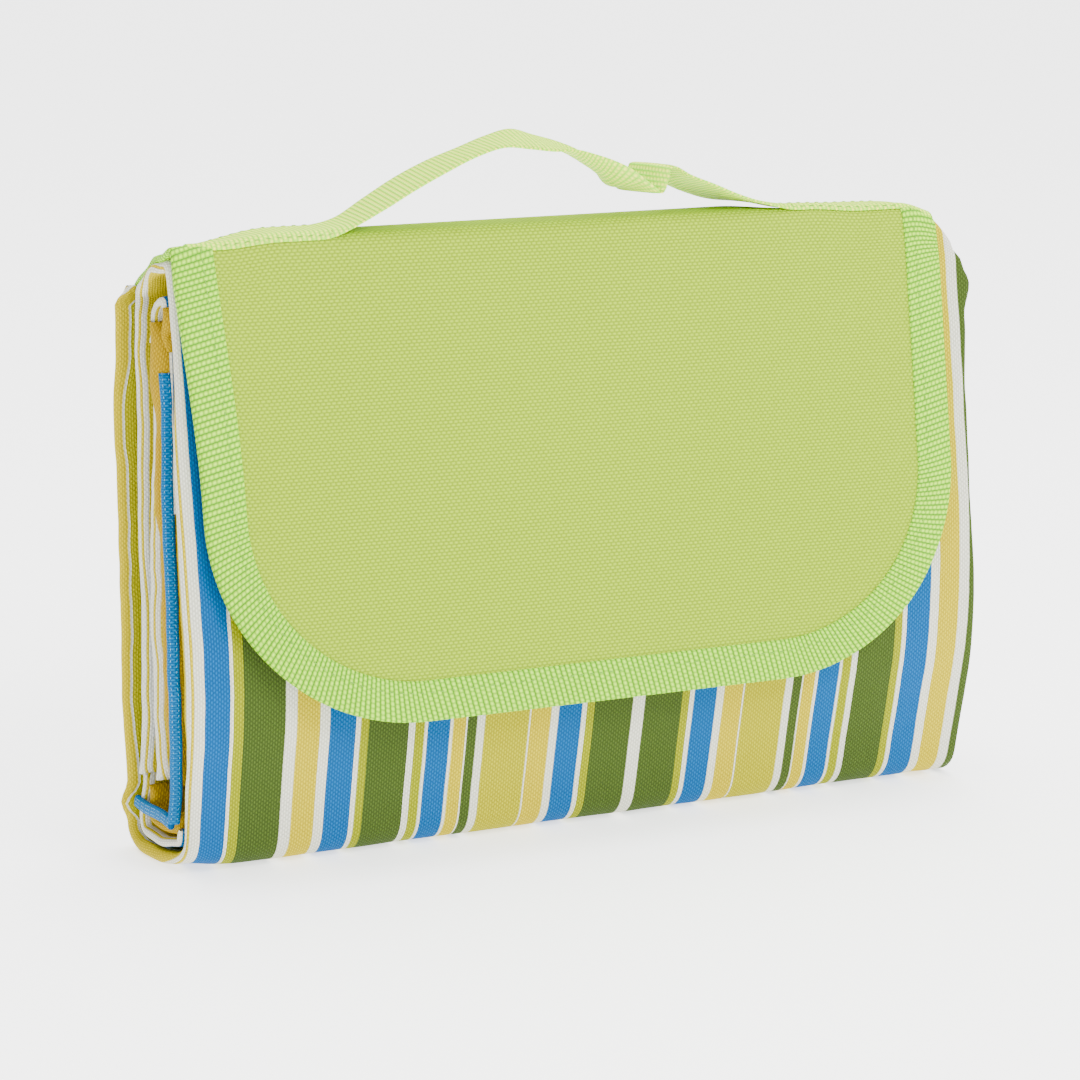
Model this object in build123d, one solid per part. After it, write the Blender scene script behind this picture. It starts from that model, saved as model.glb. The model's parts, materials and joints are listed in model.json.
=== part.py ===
from build123d import *
import os
from math import atan, cos, degrees, sin

# Folded picnic mat with a sewn-on carry flap and a webbing handle.
# Frame: X along the width, -Y is the flap side, +Z up, origin on the ground at the middle of the box.
# All sizes are in millimetres.

# ---- driving dimensions: the folded mat ----
MAT_LEFT = 156.0  # reach of the rear folds to the left of the origin
MAT_RIGHT = 156.0  # reach of the folds to the right
LEFT_STEP = 6.0  # the front folds end this much short of the rear folds on the left
MAT_REAR = 35.4  # plane of the rear panel
FRONT_FOOT = 37.8  # distance of the front plane from the origin, where it would meet the ground
FRONT_LEAN = 0.169  # the front plane leans back by this much per unit of height
MAT_TOP = 220.5  # top of the folded mat along its front
REAR_DROP = 19.0  # the top along the rear seam is this much lower than along the front
TOP_LEVEL = 14.1  # depth of the level part of the top, front to back
KNEE_HEIGHT = 68.6  # below this height the front turns back under the mat
KNEE_RADIUS = 110.0
UNDERCUT = 0.235  # the front below the knee comes back by this much per unit of height
BOTTOM_FRONT_RADIUS = 14.0
BOTTOM_REAR_RADIUS = 10.0
TOP_FRONT_RADIUS = 6.0
TOP_MID_RADIUS = 12.0
TOP_REAR_RADIUS = 7.0

# ---- the mat's three bonded layers, and the folds inside the outer wrap ----
FACE_THICK = 0.6
FOAM_THICK = 2.4
FILM_THICK = 0.3
FOLD_GAP = 0.6  # air between one folded packet and the next
PACKETS = 4  # folded packets inside the outer wrap
PACKET_INSET = 5.0  # the packets stop this far inside the ends of the outer wrap
HEM_WIDTH = 9.0  # rolled hem along the mat's cut edge
HEM_THICK = 2.4
HEM_PROUD = 4.0  # the hem stands this far out of the folded packets
HEM_INSET = 5.4  # from the mat's front to the hem
HEM_BOTTOM = 26.0
HEM_DROP = 46.0  # the long hem ends this far below the top of the mat
HEM_RUN = 34.0  # the short hem runs this far towards the rear
HEM_SEAM_MARGIN = 8.0  # the hem's thread starts and stops this far from its ends
THREAD = 0.5  # sewing thread as it stands on the cloth
THREAD_MARGIN = 2.0  # from a strip's edge to its thread line
SEAM_SLIT = 2.0  # opening of the wrap along the rear seam
SEAM_DROP = 8.0  # the rear seam's thread lies this far below the slit

# ---- driving dimensions: the carry flap ----
FLAP_WIDTH = 290.0
FLAP_SHIFT = 4.0  # the flap's middle lies this far to the right of the mat's
FLAP_BOTTOM = 54.0  # height of the flap's lower edge when closed
FLAP_RADIUS = 76.0  # lower corners
FLAP_GAP = 2.6  # between the flap's lining and the mat, where the hook and loop lie
CORE_THICK = 1.9
LINING_THICK = 0.5
BINDING_WIDTH = 14.5
BINDING_THICK = 0.6
SEAM_INSET = 12.4  # stitch line, from the flap's outer edge
HINGE_CLEAR = 0.8  # free cloth at each side of a fold line
SPINE_GAP = 0.5  # between the spine and the top of the mat
SPINE_SHORT = 1.0  # the spine stops this far short of the rear panel
FOLD_DROP = 1.5  # the front fold line lies this far below the top of the mat

# ---- hook and loop fastener ----
TAPE_LENGTH = 50.0
TAPE_WIDTH = 25.0
TAPE_OFFSET = FLAP_WIDTH / 4  # middle of each strip, from the flap's middle
TAPE_HEIGHT = 106.0  # middle of each strip, above the ground
HOOK_THICK = 1.0
LOOP_THICK = 1.0

# ---- webbing handle ----
WEB_WIDTH = 20.0
WEB_THICK = 1.2
ARCH_LEFT = -82.0  # where the free span leaves the flap
ARCH_RIGHT = 70.0
ARCH_PEAK_X = -13.0
ARCH_RISE = 28.0  # middle of the webbing at the peak, above the middle of the sewn webbing
ARCH_ROUND = 1.5  # fullness of the arch at its peak
ARCH_FLARE = 1.15  # flare of the arch at its feet
ARCH_STEPS = 24
FOOT_STEPS = 6
SWING_START = 8.2  # the part of the arch that swings starts at this height above the spine
SWING_GAP = 1.0

# ---- values worked out from the sizes above ----
LAYER = FACE_THICK + FOAM_THICK + FILM_THICK
FLAP_THICK = FACE_THICK + CORE_THICK + LINING_THICK
LEAN = atan(FRONT_LEAN)
OUT_Y = -cos(LEAN)  # direction out of the front plane
OUT_Z = sin(LEAN)
FLAP_OFFSET = (FLAP_GAP + FLAP_THICK) / cos(LEAN)
SPINE_THICK = FACE_THICK + LINING_THICK
SPINE_UNDER = MAT_TOP + SPINE_GAP
SPINE_TOP = SPINE_UNDER + SPINE_THICK
HINGE_Z = MAT_TOP - FOLD_DROP
HINGE_Y = -FRONT_FOOT - FLAP_OFFSET + FRONT_LEAN * HINGE_Z
FLAP_LENGTH = (HINGE_Z - FLAP_BOTTOM) / cos(LEAN)
SPINE_FRONT = HINGE_Y + HINGE_CLEAR
SPINE_REAR = MAT_REAR - SPINE_SHORT
WEB_FRONT = SPINE_FRONT
WEB_MIDDLE_Z = SPINE_TOP + WEB_THICK / 2
FLAP_LEFT_X = FLAP_SHIFT - FLAP_WIDTH / 2
FLAP_RIGHT_X = FLAP_SHIFT + FLAP_WIDTH / 2
MAT_REAR_TOP = MAT_TOP - REAR_DROP
TOP_FLAT = -FRONT_FOOT + FRONT_LEAN * MAT_TOP + TOP_LEVEL  # the level part of the top ends at this Y
SLOPE = REAR_DROP / (MAT_REAR - TOP_FLAT)
UNDER_ANGLE = atan(UNDERCUT)
UNDER_FOOT = -FRONT_FOOT + (FRONT_LEAN + UNDERCUT) * KNEE_HEIGHT  # the lower front meets the ground at this Y


def front_y(height):
    """Y of the mat's front plane at a height."""
    return -FRONT_FOOT + FRONT_LEAN * height


def flap_plane(depth=0.0):
    """Plane of the closed flap's outer face, or a plane that deep under it; local Y runs up the flap."""
    middle = (FLAP_SHIFT, HINGE_Y - depth * OUT_Y, HINGE_Z - depth * OUT_Z)
    return Plane(origin=middle, x_dir=(1, 0, 0), z_dir=(0, OUT_Y, OUT_Z))


def section(points, radii):
    """Closed outline in the Y-Z plane with one radius for each of its corners."""
    face = make_face(Polyline(*points, close=True))
    for point, radius in zip(points, radii):
        if radius > 0:
            corner = face.vertices().sort_by_distance((point[0], point[1], 0))[0]
            face = fillet(corner, radius)
    return face


def mat_section(inset):
    """Cross-section of the folded mat, set in evenly by inset."""
    front_shift = inset / cos(LEAN)
    under_shift = inset / cos(UNDER_ANGLE)
    top = MAT_TOP - inset
    slope_shift = inset * ((1 + SLOPE**2) ** 0.5 - 1) / SLOPE
    knee = KNEE_HEIGHT + (under_shift - front_shift) / (FRONT_LEAN + UNDERCUT)
    points = [
        (UNDER_FOOT - UNDERCUT * inset + under_shift, inset),
        (front_y(knee) + front_shift, knee),
        (front_y(top) + front_shift, top),
        (TOP_FLAT - slope_shift, top),
        (MAT_REAR - inset, top - SLOPE * (MAT_REAR - inset - TOP_FLAT + slope_shift)),
        (MAT_REAR - inset, inset),
    ]
    nominal = [
        BOTTOM_FRONT_RADIUS,
        KNEE_RADIUS,
        TOP_FRONT_RADIUS,
        TOP_MID_RADIUS,
        TOP_REAR_RADIUS,
        BOTTOM_REAR_RADIUS,
    ]
    return section(points, [max(radius - inset, 0.8) for radius in nominal])


def along_x(face, left, right):
    """Y-Z face drawn out between two X values."""
    return extrude(Plane.YZ.offset(left) * face, right - left)


def slanted_end(shift=0.0):
    """Block left of the mat's slanting left end, or left of a plane that far inside it."""
    rear_x = -MAT_LEFT + shift
    front_x = rear_x + LEFT_STEP
    reach = 60.0
    outline = Polyline(
        (rear_x - reach, MAT_REAR + reach),
        (rear_x, MAT_REAR + reach),
        (rear_x, MAT_REAR),
        (front_x, -FRONT_FOOT),
        (front_x, -FRONT_FOOT - reach),
        (rear_x - reach, -FRONT_FOOT - reach),
        close=True,
    )
    return extrude(make_face(outline), MAT_TOP + reach)


def wrap_shell(outer, inner):
    """One layer of the outer wrap, open along the rear seam under the flap."""
    face = mat_section(outer) - mat_section(inner)
    shell = along_x(face, -MAT_LEFT, MAT_RIGHT) - slanted_end()
    slit_z = MAT_REAR_TOP - TOP_REAR_RADIUS - SEAM_SLIT
    slit = Pos(0, MAT_REAR, slit_z) * Box(MAT_LEFT * 3, 4 * LAYER, SEAM_SLIT)
    return shell - slit


def packet_bounds(index):
    """Front and rear share of the inside of the wrap that one packet takes."""
    return index / PACKETS, (index + 1) / PACKETS


def inner_packet(index):
    """One packet of folded layers, between two of the slanting planes that share out the inside."""
    room = mat_section(LAYER + FOLD_GAP)
    reach = 20.0
    drift = (front_y(MAT_TOP) - UNDER_FOOT) / MAT_TOP
    low_front = UNDER_FOOT - drift * reach
    high_front = front_y(MAT_TOP) + drift * reach
    half = FOLD_GAP / 2
    shares = packet_bounds(index)
    lows = [low_front + (MAT_REAR - low_front) * share for share in shares]
    highs = [high_front + (MAT_REAR - high_front) * share for share in shares]
    front_edge = half if index > 0 else -2 * reach
    rear_edge = half if index < PACKETS - 1 else -reach
    band = make_face(
        Polyline(
            (lows[0] + front_edge, -reach),
            (highs[0] + front_edge, MAT_TOP + reach),
            (highs[1] - rear_edge, MAT_TOP + reach),
            (lows[1] - rear_edge, -reach),
            close=True,
        )
    )
    return along_x(room & band, -MAT_LEFT, MAT_RIGHT - PACKET_INSET) - slanted_end(PACKET_INSET)


def hem_strip(face, proud=HEM_PROUD):
    """Strip drawn out from just beyond the packets' left ends."""
    end_inset = PACKET_INSET - FOLD_GAP
    block = along_x(face, -MAT_LEFT + end_inset - proud, 0) & slanted_end(end_inset)
    return block - slanted_end(PACKET_INSET - FOLD_GAP - proud)


def front_band(inset, thick, low, high):
    """Thin outline that follows the mat's front between two heights."""
    ring = mat_section(inset) - mat_section(inset + thick)
    window = Pos(-FRONT_FOOT, (low + high) / 2) * Rectangle(2 * (FRONT_FOOT + hem_y(high)), high - low)
    return ring & window


def hem_y(height):
    """Y just behind the long hem at a height."""
    front = max(front_y(height), UNDER_FOOT - UNDERCUT * height)
    return front + HEM_INSET + HEM_THICK + LAYER


def long_hem():
    """Rolled hem of the mat's long edge, standing in the left end and following the front."""
    return hem_strip(front_band(HEM_INSET, HEM_THICK, HEM_BOTTOM, MAT_TOP - HEM_DROP))


def short_hem_front():
    return UNDER_FOOT - UNDERCUT * (HEM_BOTTOM - HEM_WIDTH) + HEM_INSET


def short_hem():
    """Rolled hem of the mat's short edge, folded back below the long one."""
    front = short_hem_front()
    height = HEM_BOTTOM - FOLD_GAP - HEM_WIDTH / 2
    return hem_strip(Pos(front + HEM_RUN / 2, height) * Rectangle(HEM_RUN, HEM_WIDTH))


def hem_stitching():
    """Thread line on the long hem and on the short hem."""
    inset = HEM_INSET + (HEM_THICK - THREAD) / 2
    low = HEM_BOTTOM + HEM_SEAM_MARGIN
    high = MAT_TOP - HEM_DROP - HEM_SEAM_MARGIN
    run = HEM_RUN - 2 * HEM_SEAM_MARGIN
    height = HEM_BOTTOM - FOLD_GAP - HEM_WIDTH / 2
    short_line = Pos(short_hem_front() + HEM_RUN / 2, height) * Rectangle(run, THREAD)
    lines = [front_band(inset, THREAD, low, high), short_line]
    strips = [hem_strip(line, HEM_PROUD + THREAD / 2) - hem_strip(line) for line in lines]
    return Compound(children=strips)


def tape_strip(side, depth, thick, width=TAPE_WIDTH, length=TAPE_LENGTH):
    """Strip of hook or loop tape; depth is its outer face below the flap's outer face."""
    height = (TAPE_HEIGHT - HINGE_Z) / cos(LEAN)
    return flap_plane(depth) * Pos(side * TAPE_OFFSET, height, -thick / 2) * Box(length, width, thick)


def tape_thread(side, depth):
    """Thread frame that sews a strip down."""
    width = TAPE_WIDTH - 2 * THREAD_MARGIN
    length = TAPE_LENGTH - 2 * THREAD_MARGIN
    frame = tape_strip(side, depth, THREAD / 2, width, length)
    inner = tape_strip(side, depth, THREAD, width - THREAD, length - THREAD)
    return frame - inner


def both_sides(make, *values):
    return Compound(children=[make(side, *values) for side in (-1, 1)])


def loop_depth():
    """Depth of the loop strips' outer face below the flap's outer face."""
    return FLAP_THICK + FLAP_GAP - LOOP_THICK


def flap_outline(inset):
    """Outline of the flap in its own plane, open edge at the top fold."""
    width = FLAP_WIDTH - 2 * inset
    bottom = -FLAP_LENGTH + inset
    radius = FLAP_RADIUS - inset
    outline = make_face(
        Polyline(
            (-width / 2, -HINGE_CLEAR),
            (width / 2, -HINGE_CLEAR),
            (width / 2, bottom),
            (-width / 2, bottom),
            close=True,
        )
    )
    lower = outline.vertices().group_by(Axis.Y)[0]
    return fillet(lower, radius)


def flap_layer(depth, thick):
    """One full layer of the flap inside its binding."""
    return extrude(flap_plane(depth) * flap_outline(BINDING_THICK), -thick)


def flap_binding():
    """Folded tape round the flap's rim, closed over its edge."""
    block = extrude(flap_plane(-BINDING_THICK) * flap_outline(0), -(FLAP_THICK + 2 * BINDING_THICK))
    depth = FLAP_THICK + 4 * BINDING_THICK
    window = extrude(flap_plane(-2 * BINDING_THICK) * flap_outline(BINDING_WIDTH), -depth)
    core = extrude(flap_plane(0) * flap_outline(BINDING_THICK), -FLAP_THICK)
    return block - window - core


def flap_stitching():
    """Thread line that holds the binding, on the outer side."""
    lift = BINDING_THICK + THREAD / 2
    ring = flap_outline(SEAM_INSET) - flap_outline(SEAM_INSET + THREAD)
    return extrude(flap_plane(-lift) * ring, -THREAD / 2)


def spine_section(low, high, front, rear):
    """Bent strip over the top of the mat, between two distances above its underside."""
    slope_up = (1 + SLOPE**2) ** 0.5
    bend_low = TOP_FLAT + low * (slope_up - 1) / SLOPE
    bend_high = TOP_FLAT + high * (slope_up - 1) / SLOPE
    z_low = SPINE_UNDER + low
    z_high = SPINE_UNDER + high
    return make_face(
        Polyline(
            (front, z_low),
            (bend_low, z_low),
            (rear, z_low - SLOPE * (rear - bend_low)),
            (rear, z_high - SLOPE * (rear - bend_high)),
            (bend_high, z_high),
            (front, z_high),
            close=True,
        )
    )


def spine_strip(low, high, left, right, front=SPINE_FRONT, rear=SPINE_REAR):
    return along_x(spine_section(low, high, front, rear), left, right)


def spine_binding(side):
    """Tape round one short edge of the spine, from behind the handle webbing to the rear."""
    outer = FLAP_SHIFT + side * FLAP_WIDTH / 2
    inner = outer - side * BINDING_WIDTH
    core = outer - side * BINDING_THICK
    low, high = sorted((inner, outer))
    top = spine_strip(SPINE_THICK, SPINE_THICK + BINDING_THICK, low, high)
    low, high = sorted((core, outer))
    edge = spine_strip(0, SPINE_THICK, low, high)
    behind = WEB_FRONT + WEB_WIDTH + FOLD_GAP
    cutter = Box(4 * BINDING_WIDTH, 2 * WEB_WIDTH, WEB_WIDTH)
    under_webbing = Pos(outer, behind - WEB_WIDTH, SPINE_TOP) * cutter
    return top + edge - under_webbing


def arch_height(x):
    """Rise of the webbing's middle line above the sewn webbing."""
    if x < ARCH_PEAK_X:
        share = (ARCH_PEAK_X - x) / (ARCH_PEAK_X - ARCH_LEFT)
    else:
        share = (x - ARCH_PEAK_X) / (ARCH_RIGHT - ARCH_PEAK_X)
    return ARCH_RISE * (1 - share**ARCH_ROUND) ** ARCH_FLARE


def arch_x(height, side):
    """X where the arch has a height, left or right of its peak."""
    share = (1 - (height / ARCH_RISE) ** (1 / ARCH_FLARE)) ** (1 / ARCH_ROUND)
    end = ARCH_LEFT if side < 0 else ARCH_RIGHT
    return ARCH_PEAK_X + (end - ARCH_PEAK_X) * share


def web_span(start, stop, steps):
    """Length of webbing between two X values of the arch."""
    xs = [start + (stop - start) * step / steps for step in range(steps + 1)]
    top = [(x, WEB_MIDDLE_Z + arch_height(x) + WEB_THICK / 2) for x in xs]
    under = [(x, z - WEB_THICK) for x, z in top]
    outline = make_face(Polyline(*top, *reversed(under), close=True))
    rear = WEB_FRONT + WEB_WIDTH
    return extrude(Plane.XZ.offset(-rear) * outline, WEB_WIDTH)


def handle_arch():
    """The free span that swings."""
    return web_span(arch_x(SWING_START, -1), arch_x(SWING_START, 1), ARCH_STEPS)


def handle_anchor(side):
    """Sewn end of the webbing, with the foot of the arch."""
    foot = arch_x(SWING_START, side) + side * SWING_GAP
    root = ARCH_LEFT if side < 0 else ARCH_RIGHT
    end = FLAP_SHIFT + side * (FLAP_WIDTH / 2 - BINDING_THICK)
    low, high = sorted((root, foot))
    ramp = web_span(low, high, FOOT_STEPS)
    low, high = sorted((root, end))
    middle_y = WEB_FRONT + WEB_WIDTH / 2
    sewn = Pos((low + high) / 2, middle_y, WEB_MIDDLE_Z) * Box(high - low, WEB_WIDTH, WEB_THICK)
    return sewn + ramp


def anchor_thread(side):
    """Thread lines along both edges of one sewn end."""
    root = ARCH_LEFT if side < 0 else ARCH_RIGHT
    end = FLAP_SHIFT + side * (FLAP_WIDTH / 2 - BINDING_WIDTH)
    lines = []
    for y in (WEB_FRONT + THREAD_MARGIN, WEB_FRONT + WEB_WIDTH - THREAD_MARGIN):
        middle = Pos((root + end) / 2, y, SPINE_TOP + WEB_THICK + THREAD / 4)
        lines.append(middle * Box(abs(end - root) - 2 * THREAD_MARGIN, THREAD, THREAD / 2))
    return lines


def anchor_stitching():
    return Compound(children=anchor_thread(-1) + anchor_thread(1))


def rear_seam():
    """Thread line along the rear seam, on the mat's rear panel just below its top edge."""
    height = MAT_REAR_TOP - TOP_REAR_RADIUS - SEAM_DROP
    middle = Pos(FLAP_SHIFT, MAT_REAR + THREAD / 4, height)
    return middle * Box(FLAP_WIDTH - 2 * BINDING_WIDTH, THREAD / 2, THREAD)


def mat_nodes():
    face_to = FACE_THICK
    foam_to = face_to + FOAM_THICK
    nodes = {
        "wrap_face_fabric": wrap_shell(0, face_to),
        "wrap_foam": wrap_shell(face_to, foam_to),
        "wrap_backing_film": wrap_shell(foam_to, LAYER),
        "hem_long_edge": long_hem(),
        "hem_short_edge": short_hem(),
        "hem_stitching": hem_stitching(),
        "loop_strip_left": tape_strip(-1, loop_depth(), LOOP_THICK),
        "loop_strip_right": tape_strip(1, loop_depth(), LOOP_THICK),
        "loop_stitching": both_sides(tape_thread, loop_depth() - THREAD / 2),
        "rear_seam_stitching": rear_seam(),
    }
    for index in range(PACKETS):
        nodes[f"folded_packet_{index + 1}"] = inner_packet(index)
    return nodes


def spine_nodes():
    left = FLAP_LEFT_X + BINDING_THICK
    right = FLAP_RIGHT_X - BINDING_THICK
    return {
        "spine_fabric": spine_strip(LINING_THICK, SPINE_THICK, left, right),
        "spine_lining": spine_strip(0, LINING_THICK, left, right),
        "spine_binding_left": spine_binding(-1),
        "spine_binding_right": spine_binding(1),
        "handle_anchor_left": handle_anchor(-1),
        "handle_anchor_right": handle_anchor(1),
        "anchor_stitching": anchor_stitching(),
    }


def flap_nodes():
    hook_depth = FLAP_THICK
    return {
        "flap_face_fabric": flap_layer(0, FACE_THICK),
        "flap_foam": flap_layer(FACE_THICK, CORE_THICK),
        "flap_lining": flap_layer(FACE_THICK + CORE_THICK, LINING_THICK),
        "flap_binding": flap_binding(),
        "flap_stitching": flap_stitching(),
        "hook_strip_left": tape_strip(-1, hook_depth, HOOK_THICK),
        "hook_strip_right": tape_strip(1, hook_depth, HOOK_THICK),
        "hook_stitching": both_sides(tape_thread, hook_depth + HOOK_THICK),
    }


os.makedirs("parts", exist_ok=True)
every_node = mat_nodes() | spine_nodes() | flap_nodes() | {"handle_webbing": handle_arch()}
for name, shape in every_node.items():
    export_step(shape, f"parts/{name}.step")

print(f"flap fold axis  Y {HINGE_Y:.3f}  Z {HINGE_Z:.3f}")
SEAM_Y = MAT_REAR + FOLD_GAP
print(f"rear seam axis  Y {SEAM_Y:.3f}  Z {SPINE_UNDER - SLOPE * (SEAM_Y - TOP_FLAT):.3f}")
print(f"handle axis  Y {WEB_FRONT + WEB_WIDTH / 2:.3f}  Z {WEB_MIDDLE_Z:.3f}")
print(f"lean of the front {degrees(LEAN):.2f} degrees")
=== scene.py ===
import bpy
import json
import math
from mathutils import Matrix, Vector, noise


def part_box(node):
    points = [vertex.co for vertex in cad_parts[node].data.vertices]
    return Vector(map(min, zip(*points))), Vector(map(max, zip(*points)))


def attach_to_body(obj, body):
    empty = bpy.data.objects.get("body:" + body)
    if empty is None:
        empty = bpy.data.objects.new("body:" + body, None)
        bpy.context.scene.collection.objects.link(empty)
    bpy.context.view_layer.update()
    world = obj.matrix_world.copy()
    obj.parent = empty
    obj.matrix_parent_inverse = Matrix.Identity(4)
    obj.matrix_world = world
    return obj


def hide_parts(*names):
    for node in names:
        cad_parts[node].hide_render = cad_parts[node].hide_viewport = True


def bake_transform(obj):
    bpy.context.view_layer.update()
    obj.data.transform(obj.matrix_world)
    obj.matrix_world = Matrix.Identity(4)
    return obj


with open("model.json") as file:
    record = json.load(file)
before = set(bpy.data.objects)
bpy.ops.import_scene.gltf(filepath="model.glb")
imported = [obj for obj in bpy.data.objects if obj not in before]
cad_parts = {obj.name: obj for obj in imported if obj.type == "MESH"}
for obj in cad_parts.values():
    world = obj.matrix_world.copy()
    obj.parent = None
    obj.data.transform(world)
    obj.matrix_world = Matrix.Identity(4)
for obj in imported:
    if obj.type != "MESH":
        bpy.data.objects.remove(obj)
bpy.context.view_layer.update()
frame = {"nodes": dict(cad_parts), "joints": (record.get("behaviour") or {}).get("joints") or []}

# Folded picnic mat with a carry flap. Lengths are in millimetres until a mesh is made.
MM = 0.001
FINE = 1

# ---- places read from the frame ----


def box(node):
    """Lowest and highest corner of a CAD node, in millimetres."""
    low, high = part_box(node)
    return Vector(low) / MM, Vector(high) / MM


def joint_point(name):
    """A joint's axis point, in millimetres."""
    joint = next(j for j in frame["joints"] if j["name"] == name)
    return Vector(joint["pos_m"]) / MM


WRAP_LOW, WRAP_HIGH = box("wrap_face_fabric")
SPINE_HIGH = box("spine_fabric")[1]
RIM_LOW, RIM_HIGH = box("flap_binding")
FOLD = joint_point("flap_fold")
SEAM = joint_point("flap_lift")
SWING = joint_point("handle_swing")

# ---- sizes of the cloth ----
LEAN = 0.169  # the front leans back by this much per unit of height
FOOT = 37.8  # where the mat's front plane would meet the ground, in front of the origin
KNEE = 68.6  # height where the front turns back under the mat
UNDERCUT = 0.235
UNDER_FOOT = -FOOT + (LEAN + UNDERCUT) * KNEE
FLAP_HALF = (RIM_HIGH.x - RIM_LOW.x) / 2
FLAP_MIDDLE = (RIM_HIGH.x + RIM_LOW.x) / 2
FLAP_RADIUS = 76.0  # lower corners
FRONT_THICK = 3.0  # flap in front
SPINE_THICK = 1.2  # flap over the top
FOLD_RADIUS = 4.6  # flap's front fold
SHEET_INSET = 3.0  # the flap's sheets end this far inside its rim, under the binding
TAPE = 14.5  # binding seen on each side
TAPE_THICK = 0.7
TAPE_RIB = 2.0
TAPE_SEAM = 4.2  # stitch line, from the binding's inner edge
WEB = 20.0
WEB_THICK = 1.2
STITCH_PITCH = 3.8
HEM_PITCH = 1.9
# Radius and length of the stitches.
SEAM_STITCH = {"radius": 0.28, "length": 2.9}
TAPE_STITCH = {"radius": 0.24, "length": 1.7}
WEB_STITCH = {"radius": 0.18, "length": 2.0}
HEM_STITCH = {"radius": 0.08, "length": 1.0}


# ---- lines in the Y-Z plane ----

ARC_STEPS = 16  # along each rounded corner


def rounded(points, radii, step=1.0):
    """Evenly spaced points along a polyline whose corners are rounded to the given radii."""
    line = [Vector(points[0])]
    for k in range(1, len(points) - 1):
        corner = Vector(points[k])
        back = Vector(points[k - 1]) - corner
        ahead = Vector(points[k + 1]) - corner
        angle = back.angle(ahead)
        reach = min(radii[k - 1] / math.tan(angle / 2), 0.49 * back.length, 0.49 * ahead.length)
        radius = reach * math.tan(angle / 2)
        middle = corner + (back.normalized() + ahead.normalized()).normalized() * radius / math.sin(angle / 2)
        start = corner + back.normalized() * reach - middle
        stop = corner + ahead.normalized() * reach - middle
        line += [middle + start.lerp(stop, i / ARC_STEPS).normalized() * radius for i in range(ARC_STEPS + 1)]
    line.append(Vector(points[-1]))
    return even(line, step)


def lengths_along(line):
    """Distance of each point from the line's start, along it."""
    lengths = [0.0]
    for a, b in zip(line, line[1:]):
        lengths.append(lengths[-1] + (b - a).length)
    return lengths


def tangent(line, i):
    return (line[min(i + 1, len(line) - 1)] - line[max(i - 1, 0)]).normalized()


def even(line, step):
    """The line again with points about step apart."""
    lengths = lengths_along(line)
    count = max(2, round(lengths[-1] / step))
    out = []
    k = 0
    for i in range(count + 1):
        at = lengths[-1] * i / count
        while k < len(line) - 2 and lengths[k + 1] < at:
            k += 1
        span = lengths[k + 1] - lengths[k] or 1e-9
        out.append(line[k].lerp(line[k + 1], (at - lengths[k]) / span))
    return out


def sides(line):
    """Unit vector to the left of the line's direction at each point; (y, z) -> (-z, y)."""
    return [Vector((-d.y, d.x)) for d in (tangent(line, i) for i in range(len(line)))]


def front_y(z):
    """Y of the mat's front at a height."""
    return max(-FOOT + LEAN * z, UNDER_FOOT - UNDERCUT * z)


def smooth(t):
    """Eased step from 0 to 1."""
    t = min(max(t, 0.0), 1.0)
    return t * t * (3 - 2 * t)


def wave(x, y, scale, seed):
    """Smooth noise from -1 to 1."""
    return noise.noise(Vector((x / scale, y / scale, seed * 7.31)))


def keyed(line, keys):
    """Value for each point of a line, from one number or (y, z, value) keys in the line's order."""
    if isinstance(keys, float):
        return [keys] * len(line)
    marks = []
    low = 0
    for y, z, value in keys:
        at = min(range(low, len(line)), key=lambda i: (line[i] - Vector((y, z))).length)
        marks.append((at, value))
        low = at
    values = []
    for i in range(len(line)):
        before = max([m for m in marks if m[0] <= i], default=marks[0], key=lambda m: m[0])
        after = min([m for m in marks if m[0] > i], default=before, key=lambda m: m[0])
        share = (i - before[0]) / ((after[0] - before[0]) or 1)
        values.append(before[1] + (after[1] - before[1]) * smooth(share))
    return values


def sag(point):
    """The soft pack droops at its ends: its top, its upper corners and the lower left fold."""
    x, y, z = point
    left = 6.6 * smooth((-104 - x) / 50)
    right = 2.0 * smooth((x - 66) / 30) + 1.0 * smooth((x - 112) / 46)
    behind = smooth((y + 7.5) / 17) * (1 - 0.85 * smooth((y - 16) / 20))
    high = smooth((z - 192) / 14)
    corner = 1.4 * smooth((-108 - x) / 20) * smooth((z - 196) / 22)
    corner += (1.6 * smooth((x - 96) / 22) + 6.4 * smooth((x - 130) / 24) ** 1.6) * smooth((z - 196) / 26)
    lift = 3.0 * smooth((-126 - x) / 24) * smooth((16 - z) / 16) * smooth((14 - y) / 20)
    down = (left + right) * behind * high + corner * (1 - 0.6 * behind)
    return Vector((x, y, z - down + lift))


def flare(x, s):
    """The flap's upper left corner is drawn outwards, and its upper right corner in; X shift at a place."""
    left = -5.6 * smooth((-52 - x) / 90) * smooth((150 - s) / 105)
    right = -1.6 * smooth((x - 80) / 60) * smooth((80 - s) / 60)
    return left + right


# ---- meshes ----

UV_PER_MM = 0.01


def linked(name, data):
    """New object in the scene."""
    obj = bpy.data.objects.new(name, data)
    bpy.context.scene.collection.objects.link(obj)
    return obj


def make_piece(name, points, faces, uvs, material, body=None, nodes=(), slot=None):
    """Mesh object from points in millimetres, with one UV pair in millimetres for each face corner."""
    mesh = bpy.data.meshes.new(name)
    mesh.from_pydata([tuple(sag(p) * MM) for p in points], [], faces)
    if uvs is not None:
        layer = mesh.uv_layers.new(name="cloth")
        flat = []
        for corners in uvs:
            for u, v in corners:
                flat += [u * UV_PER_MM, v * UV_PER_MM]
        layer.data.foreach_set("uv", flat)
    mesh.polygons.foreach_set("use_smooth", [True] * len(mesh.polygons))
    mesh.update()
    mesh.validate()
    mesh.materials.append(material)
    obj = linked(name, mesh)
    if body:
        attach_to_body(obj, body)
    if nodes:
        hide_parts(*nodes)
    return obj


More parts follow.
